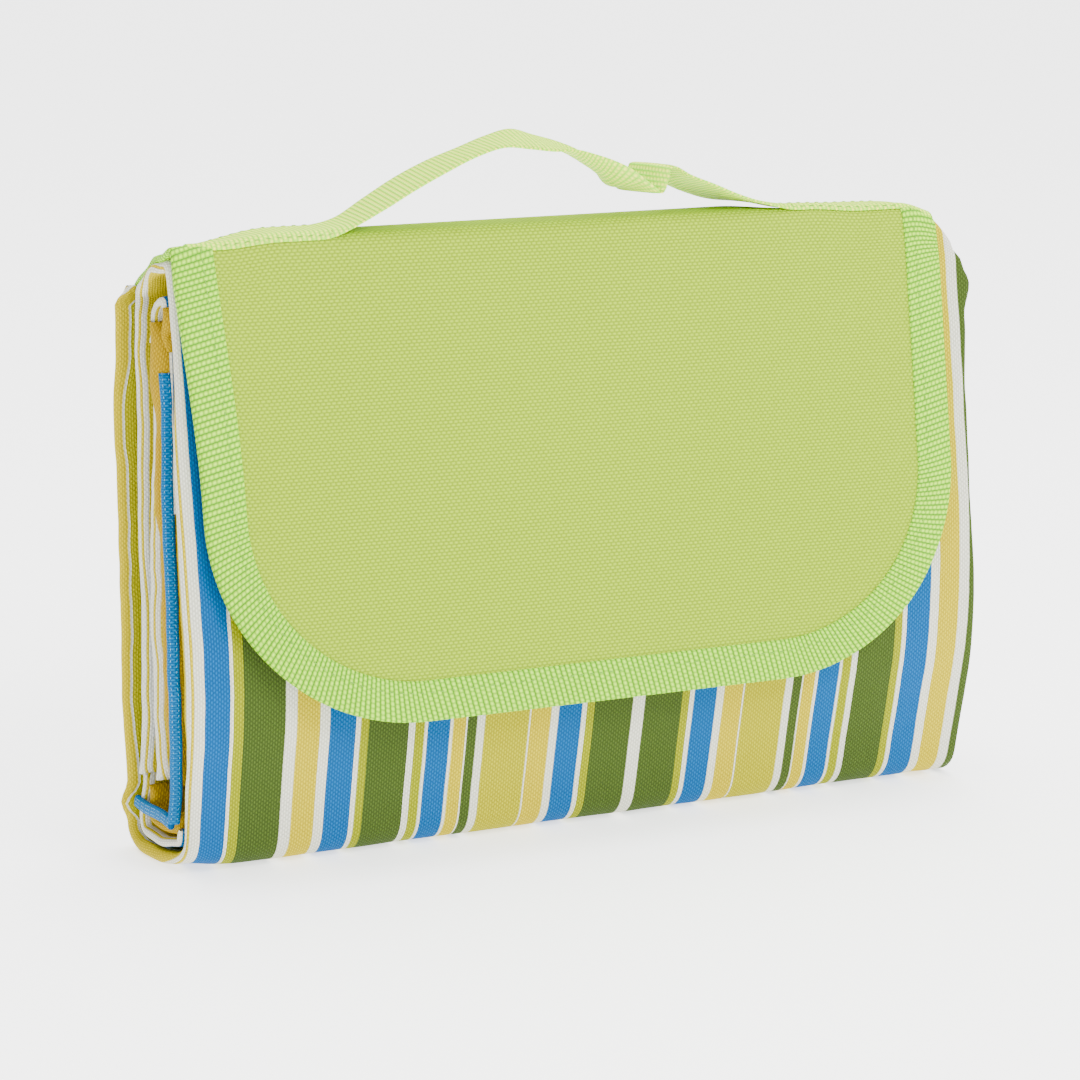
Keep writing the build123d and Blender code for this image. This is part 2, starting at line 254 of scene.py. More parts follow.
def grid(rows, uv, ring=False, flip=False):
    """Points, faces and UVs of a grid of rows; uv(i, j) gives the cloth coordinates of a grid point."""
    across = len(rows[0])
    points = [p for row in rows for p in row]
    faces = []
    uvs = []
    for i in range(len(rows) - 1):
        for j in range(across if ring else across - 1):
            k = (j + 1) % across
            quad = [i * across + j, i * across + k, (i + 1) * across + k, (i + 1) * across + j]
            corners = [uv(i, j), uv(i, j + 1), uv(i + 1, j + 1), uv(i + 1, j)]
            if flip:
                quad.reverse()
                corners.reverse()
            faces.append(quad)
            uvs.append(corners)
    return points, faces, uvs


def close_ends(faces, uvs, rows, marks=((0.0, 0.0), (0.0, 0.0)), turned=True):
    """A face over each end of a ringed grid, with one cloth coordinate for each."""
    around = len(rows[0])
    last = (len(rows) - 1) * around
    for end, mark in zip((list(range(around)), [last + k for k in reversed(range(around))]), marks):
        faces.append(end[::-1] if turned else end)
        uvs.append([mark] * around)


# ---- materials ----


class Shader:
    """One material, with short calls for its nodes."""

    def __init__(self, name):
        self.material = bpy.data.materials.new(name)
        self.material.use_nodes = True
        self.tree = self.material.node_tree
        self.bsdf = self.tree.nodes["Principled BSDF"]

    def node(self, kind, **settings):
        made = self.tree.nodes.new(kind)
        for key, value in settings.items():
            setattr(made, key, value)
        return made

    def put(self, socket, value):
        if isinstance(value, bpy.types.NodeSocket):
            self.tree.links.new(value, socket)
        else:
            socket.default_value = value

    def math(self, operation, a, b=0.0, c=0.0):
        made = self.node("ShaderNodeMath", operation=operation)
        for socket, value in zip(made.inputs, (a, b, c)):
            self.put(socket, value)
        return made.outputs[0]

    def cloth(self):
        """Cloth coordinates in millimetres: across the stripes, and along them."""
        uv = self.node("ShaderNodeUVMap", uv_map="cloth")
        parts = self.node("ShaderNodeSeparateXYZ")
        self.tree.links.new(uv.outputs[0], parts.inputs[0])
        return [self.math("MULTIPLY", parts.outputs[k], 1 / UV_PER_MM) for k in (0, 1)]

    def place(self):
        return self.node("ShaderNodeTexCoord").outputs["Object"]

    def noise(self, scale, detail=2.0, vector=None):
        made = self.node("ShaderNodeTexNoise")
        made.inputs["Scale"].default_value = scale
        made.inputs["Detail"].default_value = detail
        self.tree.links.new(vector or self.place(), made.inputs["Vector"])
        return made.outputs["Fac"]

    def mix(self, share, a, b, mode="MIX"):
        made = self.node("ShaderNodeMix", data_type="RGBA", blend_type=mode)
        self.put(made.inputs[0], share)
        self.put(made.inputs[6], a)
        self.put(made.inputs[7], b)
        return made.outputs[2]

    def humps(self, value, pitch):
        """Rounded humps from 0 to 1, one for each pitch."""
        turn = self.math("MULTIPLY", value, math.pi / pitch)
        return self.math("POWER", self.math("ABSOLUTE", self.math("SINE", turn)), 1.1)

    def share(self, scale, amount, detail=2.0):
        """Soft patches from 0 to an amount."""
        return self.math("MULTIPLY", self.noise(scale, detail), amount)

    def uneven(self, colour, patch, tint):
        """The colour, darkened by a tint where the patches are."""
        return self.mix(patch, colour, tint, "MULTIPLY")

    def rough(self, scale, spread, least):
        return self.math("MULTIPLY_ADD", self.noise(scale), spread, least)

    def finish(self, colour, height, depth, strength, roughness, sheen=0.05):
        """Cloth whose bumps are depth millimetres high."""
        self.put(self.bsdf.inputs["Base Color"], colour)
        bump = self.node("ShaderNodeBump")
        bump.inputs["Distance"].default_value = depth * MM
        bump.inputs["Strength"].default_value = strength
        self.put(bump.inputs["Height"], height)
        self.tree.links.new(bump.outputs[0], self.bsdf.inputs["Normal"])
        self.put(self.bsdf.inputs["Roughness"], roughness)
        self.bsdf.inputs["Specular IOR Level"].default_value = 0.06
        self.bsdf.inputs["Sheen Weight"].default_value = sheen
        self.bsdf.inputs["Sheen Roughness"].default_value = 0.5
        self.put(self.bsdf.inputs["Sheen Tint"], colour)
        return self.material


def srgb(red, green, blue):
    """Linear colour with alpha from 8-bit sRGB values."""
    out = []
    for value in (red, green, blue):
        c = value / 255
        out.append(c / 12.92 if c <= 0.04045 else ((c + 0.055) / 1.055) ** 2.4)
    return (*out, 1.0)


WHITE = srgb(221, 220, 202)
DARK_GREEN = srgb(63, 82, 30)
LIME = srgb(170, 164, 0)
BRIGHT_LIME = srgb(141, 147, 1)
YELLOW = srgb(193, 173, 0)
BLUE = srgb(0, 85, 146)

STRIPE_CENTRE = 21.3  # the stripes mirror about this X
# Colour and width of each stripe, outward from the middle.
STRIPES = [
    (WHITE, 1.9), (DARK_GREEN, 15.2), (BRIGHT_LIME, 3.4), (WHITE, 2.0), (BLUE, 8.7), (WHITE, 3.1),
    (YELLOW, 7.9), (WHITE, 0.9), (LIME, 16.6), (WHITE, 3.3), (DARK_GREEN, 3.8), (WHITE, 0.4),
    (YELLOW, 4.9), (WHITE, 0.9), (BLUE, 8.6), (WHITE, 1.3), (BRIGHT_LIME, 4.0), (WHITE, 2.2),
    (DARK_GREEN, 15.0), (BRIGHT_LIME, 3.5), (WHITE, 1.8), (BLUE, 9.2), (WHITE, 3.8), (YELLOW, 8.5),
    (WHITE, 4.3), (DARK_GREEN, 15.4), (BRIGHT_LIME, 3.6), (WHITE, 1.5), (BLUE, 9.0), (WHITE, 3.7),
    (YELLOW, 1.1), (WHITE, 2.0), (YELLOW, 7.9), (WHITE, 0.9), (LIME, 16.6), (WHITE, 3.8), (DARK_GREEN, 9.0),
]
RAMP_STOPS = 28


def stripe_colour(shader, across):
    """Colour of the stripes from the distance to their middle, with constant ramps joined end to end."""
    distance = shader.math("ABSOLUTE", shader.math("SUBTRACT", across, STRIPE_CENTRE))
    colour = None
    start = 0.0
    for first in range(0, len(STRIPES), RAMP_STOPS):
        group = STRIPES[first:first + RAMP_STOPS]
        span = sum(width for _, width in group)
        ramp = shader.node("ShaderNodeValToRGB")
        ramp.color_ramp.interpolation = "CONSTANT"
        stops = ramp.color_ramp.elements
        at = 0.0
        for k, (tint, width) in enumerate(group):
            stop = stops[k] if k < 2 else stops.new(at / span)  # a ramp starts with two stops
            stop.position = at / span
            stop.color = tint
            at += width
        share = shader.math("DIVIDE", shader.math("SUBTRACT", distance, start), span)
        shader.put(ramp.inputs[0], share)
        past = shader.math("GREATER_THAN", distance, start)
        colour = ramp.outputs[0] if colour is None else shader.mix(past, colour, ramp.outputs[0])
        start += span
    return colour


def weave(shader, across, along, warp, weft):
    """Height from 0 to 1 of a plain weave: yarn humps in a brick pattern."""
    row = shader.math("FLOOR", shader.math("DIVIDE", along, weft))
    shifted = shader.math("ADD", across, shader.math("MULTIPLY", row, warp / 2))
    return shader.math("MULTIPLY", shader.humps(shifted, warp), shader.humps(along, weft))


def striped_fabric(name="striped_oxford", plain=None):
    """Oxford weave printed with the stripes, or in one plain colour."""
    shader = Shader(name)
    across, along = shader.cloth()
    height = weave(shader, along, across, 1.7, 0.95)
    wobble = shader.math("MULTIPLY", shader.math("SUBTRACT", shader.noise(900.0, 0.0), 0.5), 0.12)
    print_colour = plain or stripe_colour(shader, shader.math("ADD", across, wobble))
    # painted highlight on the top of each yarn and painted shade at its sides, both following the weave's height
    yarn_top_highlight = shader.math("MULTIPLY", shader.math("POWER", height, 3.0), 0.55)
    shade = shader.mix(yarn_top_highlight, print_colour, print_colour, "SCREEN")
    low = shader.math("MULTIPLY", shader.math("SUBTRACT", 1.0, height), 0.55)
    yarn = shader.uneven(shade, low, (0.45, 0.45, 0.43, 1.0))
    colour = shader.uneven(yarn, shader.share(22.0, 0.14), (0.62, 0.62, 0.55, 1.0))
    return shader.finish(colour, height, 0.3, 0.7, shader.rough(60.0, 0.15, 0.62))


def flap_fabric():
    shader = Shader("flap_oxford")
    across, along = shader.cloth()
    height = weave(shader, across, along, 1.9, 1.2)
    # the flap's green with painted highlight on the weave's humps and painted shade in its hollows
    base = shader.mix(height, srgb(124, 152, 6), srgb(172, 204, 19))
    colour = shader.uneven(base, shader.share(9.0, 0.16, 3.0), srgb(196, 200, 90))
    return shader.finish(colour, height, 0.34, 0.8, shader.rough(70.0, 0.12, 0.60))


def lining_fabric():
    shader = Shader("flap_lining_weave")
    across, along = shader.cloth()
    height = weave(shader, across, along, 0.9, 0.8)
    # the lining's green with painted highlight on the weave's humps and painted shade in its hollows
    base = shader.mix(height, srgb(119, 149, 7), srgb(143, 174, 14))
    colour = shader.uneven(base, shader.share(14.0, 0.2), srgb(170, 180, 120))
    return shader.finish(colour, height, 0.15, 0.5, 0.72)


def webbing(name, rib, dot, slant, dark, bright):
    """Ribbed tape: ribs run across it at a slant, each a row of small humps, with painted highlight on the humps
    and painted shade between them.
    """
    shader = Shader(name)
    across, length = shader.cloth()
    along = shader.math("ADD", length, shader.math("MULTIPLY", across, slant))
    row = shader.math("FLOOR", shader.math("DIVIDE", along, rib))
    shifted = shader.math("ADD", across, shader.math("MULTIPLY", row, dot / 2))
    humps = shader.humps(shifted, dot)
    ribs = shader.humps(along, rib)
    height = shader.math("MULTIPLY", ribs, shader.math("MULTIPLY_ADD", humps, 0.65, 0.35))
    # painted shade in the gaps (dark) and painted highlight on the humps (bright), following the rib height
    base = shader.mix(height, dark, bright)
    colour = shader.uneven(base, shader.share(35.0, 0.18), srgb(180, 216, 110))
    return shader.finish(colour, height, 0.55, 0.9, 0.5, 0.06)


def blue_hem_fabric():
    shader = Shader("blue_hem_oxford")
    across, along = shader.cloth()
    height = weave(shader, across, along, 1.25, 0.9)
    # the hem's blue with painted highlight on the weave's humps and painted shade in its hollows
    base = shader.mix(height, srgb(0, 75, 126), srgb(0, 123, 178))
    colour = shader.uneven(base, shader.share(40.0, 0.2), srgb(40, 140, 190))
    return shader.finish(colour, height, 0.25, 0.6, 0.6)


def thread(name, dark, bright):
    shader = Shader(name)
    twist = shader.math("SINE", shader.math("MULTIPLY", shader.noise(400.0, 1.0), 12.0))
    base = shader.mix(shader.noise(300.0), dark, bright)
    return shader.finish(base, twist, 0.1, 0.4, 0.45)


def hook_and_loop():
    shader = Shader("hook_and_loop_pile")
    height = shader.noise(1600.0, 4.0)
    base = shader.mix(height, srgb(120, 156, 70), srgb(180, 212, 120))
    return shader.finish(base, height, 0.5, 0.9, 0.8, 0.1)


STRIPED = striped_fabric()
# painted shade: a plain copy of the yellow stripe's colour, made darker for the shaded folds deep in the left end
SHADED_YELLOW_CLOTH = striped_fabric("yellow_oxford_painted_shade", srgb(170, 137, 0))
FLAP_CLOTH = flap_fabric()
LINING = lining_fabric()
# each webbing's dark and bright colours are its painted shade in the gaps and painted highlight on the humps
TAPE_CLOTH = webbing("binding_tape", TAPE_RIB, 1.7, -0.24, srgb(62, 138, 1), srgb(192, 250, 40))
WEB_CLOTH = webbing("handle_webbing_ribs", 1.7, 1.5, 0.0, srgb(140, 226, 24), srgb(246, 254, 86))
BLUE_CLOTH = blue_hem_fabric()
GREEN_THREAD = thread("green_thread_twist", srgb(86, 140, 30), srgb(130, 186, 60))
PALE_THREAD = thread("pale_thread_twist", srgb(110, 170, 205), srgb(170, 210, 228))
PILE = hook_and_loop()


# ---- the mat: folded bands ----


BAND_ARC = 8  # steps round each folded edge
BAND_TAPER = 2.5  # steps over which a band thins at its ends


def fold_ring(x_left, x_right, half, across):
    """(x, height) of each point round a band, from its outer face, and its place along the cloth."""
    xs = [x_left + half + (x_right - x_left - 2 * half) * k / (across - 1) for k in range(across)]
    ring = [(x, 0.0) for x in xs]
    flat = list(xs)
    quarter = half * math.pi / BAND_ARC
    turns = [math.pi * k / BAND_ARC for k in range(1, BAND_ARC)]
    for k, a in enumerate(turns, 1):
        ring.append((x_right - half + half * math.sin(a), -half + half * math.cos(a)))
        flat.append(xs[-1] + quarter * k)
    for x in reversed(xs):
        ring.append((x, -2 * half))
        from_right = xs[-1] + half * math.pi + (xs[-1] - x)
        from_left = xs[0] - half * math.pi - (x - xs[0])
        flat.append(from_right if x > 0 else from_left)
    for k, a in enumerate(turns, 1):
        ring.append((x_left + half - half * math.sin(a), -half - half * math.cos(a)))
        flat.append(xs[0] - half * math.pi + quarter * k)
    return ring, flat


def close_band(faces, uvs, uv, count, across):
    """Flat faces that join the two layers at both ends of a band."""
    loop = 2 * (across + BAND_ARC - 1)
    for i in (0, count - 1):
        for j in range(across - 1):
            other = across + BAND_ARC - 1 + (across - 1 - j)
            quad = [i * loop + j, i * loop + j + 1, i * loop + other - 1, i * loop + other]
            corners = [uv(i, j), uv(i, j + 1), uv(i, j + 1), uv(i, j)]
            if not i:
                quad.reverse()
                corners.reverse()
            faces.append(quad)
            uvs.append(corners)


def fold_band(name, corners, radii, left, right, thick, nodes=(), material=None, tips=None, shifts=None,
              right_shifts=None, bulge=0.0, seed=1, across=40, step=3.0, drift=0.5):
    """
    The mat doubled over: a flat tube that follows a line in the Y-Z plane and is folded at both ends.
    Values that change along it are keys, as keyed() takes them. tips is the distance of the left fold
    from the middle of the stripes; without it the stripes stand where the cloth lies. shifts and
    right_shifts move the print along the cloth, everywhere or at the right end.
    """
    path = even(rounded(corners, radii), step * FINE)
    lefts = keyed(path, left)
    rights = keyed(path, right)
    thicks = keyed(path, thick)
    rows = []
    coords = []
    count = len(path)
    for i, (point, normal, length) in enumerate(zip(path, sides(path), lengths_along(path))):
        x_left = lefts[i] + drift * wave(length, 0, 26, seed) + 0.4 * drift * wave(length, 9, 9, seed)
        x_right = rights[i] + drift * wave(length, 50, 30, seed) + 0.4 * drift * wave(length, 70, 9, seed)
        end = smooth((min(i, count - 1 - i) + 0.6) / BAND_TAPER)
        ring, flat = fold_ring(x_left, x_right, thicks[i] / 2 * (0.3 + 0.7 * end), across)
        placed = []
        for k, (x, h) in enumerate(ring):
            near_end = smooth((abs(x) - 90) / 60)
            fine = 0.35 * wave(x, length, 9, seed + 5) * near_end
            out = bulge * (wave(x, length, 40, seed + 1) + 0.5 * wave(x, length, 15, seed + 2)) * 0.5
            out = min(out + fine, 0.6) if k < across else out
            placed.append((x, point.x + normal.x * (h + out), point.y + normal.y * (h + out)))
        rows.append(placed)
        coords.append((flat, length))
    if tips:
        for (flat, _), tip, x, thickness in zip(coords, keyed(path, tips), lefts, thicks):
            shift = (STRIPE_CENTRE - tip) - (x + thickness / 2 * (1 - math.pi / 2))
            flat[:] = [u + shift for u in flat]
    if shifts:
        for (flat, _), shift in zip(coords, keyed(path, shifts)):
            flat[:] = [u + shift for u in flat]
    if right_shifts:
        for (flat, _), shift in zip(coords, keyed(path, right_shifts)):
            flat[:] = [u - shift * smooth((u - 118) / 22) for u in flat]

    def uv(i, j):
        flat, along = coords[i]
        return flat[j % len(flat)], along

    points, faces, uvs = grid(rows, uv, ring=True)
    close_band(faces, uvs, uv, count, across)
    obj = make_piece(name, points, faces, uvs, material or STRIPED, "mat_bundle", nodes, "striped_fabric")


TOP = WRAP_HIGH.z
REAR = WRAP_HIGH.y
RIGHT = WRAP_HIGH.x
LEFT = WRAP_LOW.x


def rear(z, value):
    """A key on the rear panel."""
    return REAR, z, value


def front(z, value):
    """A key on the front panel."""
    return front_y(z), z, value


def outer_wrap():
    """Rear panel, bottom roll, front panel and top, then down inside the rear panel."""
    corners = [
        (REAR - 0.5, 204.0), (REAR, 180), (REAR, 0), (UNDER_FOOT, 0), (front_y(KNEE), KNEE),
        (front_y(TOP), TOP), (13.0, TOP), (27.5, 207.5), (27.0, 150.0), (26.0, 60.0), (27.0, 29.0),
    ]
    left = [
        rear(204, LEFT + 6.0), rear(197, LEFT + 1.6), rear(180, LEFT + 1.0), rear(160, LEFT),
        rear(90, LEFT + 0.4), rear(54, LEFT + 0.1), rear(24, LEFT + 0.9), rear(17, LEFT - 1.5),
        (REAR - 2, 9, LEFT + 0.6), (25, 0, LEFT + 1.5), (10, 0, LEFT + 4.0), (-5, 1, LEFT + 7.0),
        (-13, 15, LEFT + 8.0), front(38, LEFT + 7.6), front(68, LEFT + 6.0), front(100, LEFT + 6.0),
        front(136, LEFT + 7.3), front(177, LEFT + 9.8), front(205, LEFT + 10.4), (2, TOP, LEFT + 10.0),
        (10, TOP, LEFT + 7.6), (24, 210, LEFT + 6.8), (27.5, 199, LEFT + 6.6), (27, 180, LEFT + 5.7),
        (26, 93, LEFT + 5.2), (26, 56, LEFT + 4.5), (27, 29, LEFT + 3.4),
    ]
    right = [
        rear(204, RIGHT - 4.0), rear(180, RIGHT), rear(20, RIGHT), (20, 0, RIGHT + 1.0), (-8, 3, RIGHT + 5.4),
        front(40, RIGHT + 5.2), front(70, RIGHT + 4.6), front(110, RIGHT + 4.4), front(150, RIGHT + 5.0),
        front(178, RIGHT + 6.6), front(190, RIGHT + 9.6), front(198, RIGHT + 6.8), front(208, RIGHT + 3.0),
        (2, TOP, RIGHT - 2.0), (24, 210, RIGHT - 5.0), (27, 29, RIGHT - 4.0),
    ]
    thick = [
        rear(204, 4.0), rear(150, 5.0), (0, 0, 5.0), front(60, 5.0), (0, TOP, 4.4), (27, 150, 5.5), (27, 29, 6.0),
    ]
    shifts = [
        rear(204, 3.1), rear(14, 3.1), (0, 0, 0.5), (-13, 15, 0.0), (8, TOP, 0.0), (26.5, 203, 5.8),
        (27, 120, 7.0), (27, 29, 9.2),
    ]
    right_shifts = [front(KNEE, 0.0), front(120, 2.0), (2, TOP, 2.2), (10, TOP, 2.2)]
    fold_band(
        "outer_wrap", corners, [60, 11, 14, 110, 5.5, 14, 7, 60, 60], left, right, thick,
        ("wrap_face_fabric", "wrap_foam", "wrap_backing_film"), shifts=shifts, right_shifts=right_shifts,
        bulge=0.8, across=160 // FINE, step=2.5)


def inner_folds():
    """The folded packets inside the outer wrap, as they show at the left end."""
    fold_band(
        "pale_fold", [(14.5, 196), (16.0, 120), (18.0, 60), (18.0, 29)], [60, 60],
        [(14, 196, LEFT + 9.0), (15, 150, LEFT + 7.5), (16, 95, LEFT + 5.3), (18, 50, LEFT + 6.0)],
        RIGHT - 5.0, [(14, 196, 6.0), (18, 60, 8.5)],
        ("folded_packet_3",), tips=166.8, seed=12, drift=1.0)
    fold_band(
        "top_fold", [(-8.5, 130), (front_y(196) + 7.0, 196), (3.0, 209), (11.5, 208.0), (12.5, 186)],
        [40, 4.0, 4.5],
        [(-8, 130, LEFT + 7.8), (2, 196, LEFT + 10.5), (4, 207, LEFT + 9.4), (12, 200, LEFT + 7.2)],
        RIGHT - 4.0, 3.6, ("folded_packet_2",), tips=167.0, seed=13, drift=0.8)
    # these folds show only the yellow stripe; their darker yellow cloth paints the shade deep in the left end
    fold_band(
        "shaded_yellow_fold", [(11.0, 194), (11.5, 160), (8.0, 120), (5.5, 70), (4.5, 30)], [50, 50, 60],
        [(11, 194, LEFT + 6.4), (11, 172, LEFT + 5.2), (11, 158, LEFT + 6.6), (11, 148, LEFT + 5.6),
         (8, 110, LEFT + 6.5), (5, 60, LEFT + 6.6), (4, 30, LEFT + 7.5)],
        RIGHT - 4.5, [(11, 194, 9.0), (11, 165, 13.0), (8, 120, 9.0), (5, 60, 8.0)],
        ("folded_packet_1",), SHADED_YELLOW_CLOTH, seed=14, drift=1.4, bulge=0.6)
    fold_band(
        "shaded_yellow_lobe", [(4.5, 203), (3.0, 196), (4.0, 190), (0.5, 184)], [6, 6],
        [(4, 203, LEFT + 9.6), (3, 190, LEFT + 8.6), (1, 184, LEFT + 10.0)],
        -60.0, [(4, 203, 3.0), (3, 194, 4.5), (1, 184, 2.5)],
        (), SHADED_YELLOW_CLOTH, seed=15, drift=0.8, across=24, step=1.5)
    fold_band(
        "pale_bottom_fold", [(26.5, 30), (27.0, 12), (24.0, 6.3), (6.0, 6.3), (-6.0, 9.0), (-8.5, 17.0)],
        [20, 7, 20, 6],
        [(26, 30, LEFT + 4.5), (27, 12, LEFT + 2.8), (10, 6.3, LEFT + 4.2), (-6, 9, LEFT + 7.2)],
        RIGHT - 3.0, 4.0, ("folded_packet_4",), tips=167.0, seed=16, step=1.5)
    fold_band(
        "shaded_yellow_bottom_fold", [(21.0, 26), (20.5, 13), (8.0, 11.5), (-4.0, 13.5), (-5.5, 22.0)], [6, 20, 5],
        [(21, 26, LEFT + 5.0), (20, 13, LEFT + 4.0), (-4, 13, LEFT + 7.6)],
        RIGHT - 4.0, 4.6, (), SHADED_YELLOW_CLOTH, seed=17, step=1.5, drift=0.9)


def core_folds():
    """Folds deep in the pack, set back from its left end, that fill it from front to rear."""
    fold_band(
        "core_fold_front", [(-10.2, 26), (-18.0, 58), (-18.8, 74), (-15.0, 100), (-11.0, 124)], [30, 30, 60],
        LEFT + 15.0, [(-10, 26, RIGHT - 1.0), (-11, 124, RIGHT + 1.0)],
        [(-10, 26, 3.5), (-18, 58, 7.0), (-15, 100, 6.0), (-11, 124, 3.5)], seed=31, drift=1.2)
    fold_band(
        "core_fold_middle",
        [(-6.0, 26), (-10.4, 60), (-11.2, 76), (-8.4, 104), (-4.4, 134), (-3.4, 152)], [30, 30, 60, 60],
        LEFT + 16.0, [(-6, 26, RIGHT - 3.0), (-4, 134, RIGHT - 1.0)],
        [(-6, 26, 2.2), (-10, 60, 7.0), (-11, 76, 7.5), (-8, 104, 5.8), (-4, 134, 3.2)], seed=32, drift=1.2)
    fold_band(
        "core_fold_rear", [(20.4, 196), (20.6, 120), (20.4, 31)], [60],
        LEFT + 13.0, [(20, 196, RIGHT - 6.0), (20, 31, RIGHT - 4.0)],
        [(20, 196, 5.2), (20, 120, 3.8), (20, 31, 2.2)], seed=33, drift=1.0)


# ---- the flap ----


def flap_line(step):
    """The flap's outer surface from the rear seam over the top and down the front."""
    top = SPINE_HIGH.z
    bottom = RIM_LOW.z + 0.5
    foot = FOLD.y - LEAN * (FOLD.z - bottom)
    corner = FOLD.y + LEAN * (top - FOLD.z)
    return rounded([(REAR + 1.6, 190.0), (REAR + 1.6, 203.0), (13.6, top), (corner, top), (foot, bottom)],
                   [6, 14, FOLD_RADIUS], step)


FLAP_LINE = flap_line(0.5)
FLAP_SIDES = [-n for n in sides(FLAP_LINE)]
FLAP_STEP = sum((b - a).length for a, b in zip(FLAP_LINE, FLAP_LINE[1:])) / (len(FLAP_LINE) - 1)
FLAP_LENGTH = FLAP_STEP * (len(FLAP_LINE) - 1)
SPLIT = next(i for i, p in enumerate(FLAP_LINE) if p.x < 10.0) * FLAP_STEP  # under the webbing
FRONT_START = next(i for i, p in enumerate(FLAP_LINE) if p.x < FOLD.y + 3.0) * FLAP_STEP


def flap_point(x, s, height=0.0):
    """Point at X, a distance s down the flap, and a height off its outer surface."""
    at = min(max(s / FLAP_STEP, 0.0), len(FLAP_LINE) - 1.001)
    i = int(at)
    p = FLAP_LINE[i].lerp(FLAP_LINE[i + 1], at - i)
    n = FLAP_SIDES[i].lerp(FLAP_SIDES[i + 1], at - i)
    off = height + flap_swell(x, s)
    return Vector((FLAP_MIDDLE + x + flare(x, s), p.x + n.x * off, p.y + n.y * off))


def flap_swell(x, s):
    """Slight swelling and waves of the padded front."""
    inside = smooth((FLAP_HALF - abs(x)) / 30) * smooth((FLAP_LENGTH - s) / 30)
    inside *= smooth((s - FRONT_START) / 18)
    return inside * (0.7 + 0.5 * wave(x, s, 60, 3) + 0.2 * wave(x, s, 22, 4))


def flap_thick(s):
    """The flap is thin over the top and padded in front."""
    return SPINE_THICK + (FRONT_THICK - SPINE_THICK) * smooth((s - FRONT_START - 5) / 12)


def half_width(s, inset=0.0):
    """Half the flap's width at a distance s, inside its rounded lower corners."""
    below = s - (FLAP_LENGTH - FLAP_RADIUS)
    if below <= 0:
        return FLAP_HALF - inset
    r = FLAP_RADIUS - inset
    below = min(below, r)
    return FLAP_HALF - FLAP_RADIUS + math.sqrt(max(r * r - below * below, 0.0))


def flap_sheet(name, start, stop, side, material, slot, nodes):
    """One sheet of the flap: its face (side 0) or its lining (side 1)."""
    stop = min(stop, FLAP_LENGTH - SHEET_INSET)
    down = max(3, round((stop - start) / (1.8 * FINE)))
    across = 96 // FINE
    stations = [start + (stop - start) * i / down for i in range(down + 1)]
    rows = []
    for s in stations:
        w = half_width(s, SHEET_INSET)
        depth = -flap_thick(s) if side else 0.0
        rows.append([flap_point(w * (2 * j / across - 1), s, depth) for j in range(across + 1)])

    def uv(i, j):
        return half_width(stations[i], SHEET_INSET) * (2 * j / across - 1), stations[i]

    points, faces, uvs = grid(rows, uv, flip=not side)
    obj = make_piece(name, points, faces, uvs, material, None, nodes, slot)
    attach(obj)
    return obj


# Bodies on both sides of each fold, and a start and an end point at each fold.
FRONT_BLEND = ("flap_spine", "flap_front", (0, FOLD.y + 6.0, SPINE_HIGH.z), (0, FOLD.y - 1.2, FOLD.z - 5.0))
REAR_BLEND = ("mat_bundle", "flap_spine", (0, SEAM.y + 0.6, SEAM.z - 3.5), (0, SEAM.y - 4.5, SEAM.z + 3.5))


def attach(obj):
    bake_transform(obj)


def edge_line(start, stop, side, step):
    """Points down one straight edge of the flap, in its own plane."""
    count = max(2, round((stop - start) / step))
    return [Vector((side * FLAP_HALF, start + (stop - start) * k / count)) for k in range(count + 1)]


def rim(start, step):
    """Points of the flap's rim in its own plane: down the left edge, along the bottom, up the right edge."""
    low = FLAP_LENGTH - FLAP_RADIUS
    middle = FLAP_HALF - FLAP_RADIUS
    line = edge_line(start, low, -1, step)
    turns = round(FLAP_RADIUS * math.pi / 2 / step)
    for k in range(1, turns + 1):
        a = math.pi / 2 * k / turns
        line.append(Vector((-middle - FLAP_RADIUS * math.cos(a), low + FLAP_RADIUS * math.sin(a))))
    flat = round(2 * middle / step)
    for k in range(1, flat):
        line.append(Vector((-middle + 2 * middle * k / flat, FLAP_LENGTH)))
    line += [Vector((-p.x, p.y)) for p in reversed(line[:len(line) - (flat - 1)])]
    return even(line, step)


def inward(line, flip):
    """Unit vectors into the flap from each rim point; flip is for a line down the right edge."""
    return [n if flip else -n for n in sides(line)]


def tape_section():
    """Folded tape: (distance in from the edge, height off the face, share of the flap's thickness)."""
    t = TAPE_THICK
    outer = [(TAPE, 0.05, 0), (TAPE - 0.15, t * 0.8, 0), (TAPE - 0.7, t, 0)]
    for k in range(1, 7):
        outer.append((TAPE - 0.7 - (TAPE - 2.2) * k / 7, t + 0.25 * math.sin(math.pi * k / 7), 0))
    outer += [(1.4, t, 0), (0.5, t * 0.75, 0), (0.05, t * 0.2, 0.1), (-0.1, 0, 0.5), (0.05, -t * 0.2, 0.9)]
    under = [(0.5, -t * 0.75, 1), (1.4, -t, 1)]
    under += [(1.4 + (TAPE - 2.1) * k / 5, -t, 1) for k in range(1, 5)]
    under += [(TAPE - 0.7, -t, 1), (TAPE - 0.15, -t * 0.8, 1), (TAPE, -0.05, 1)]
    return outer + under


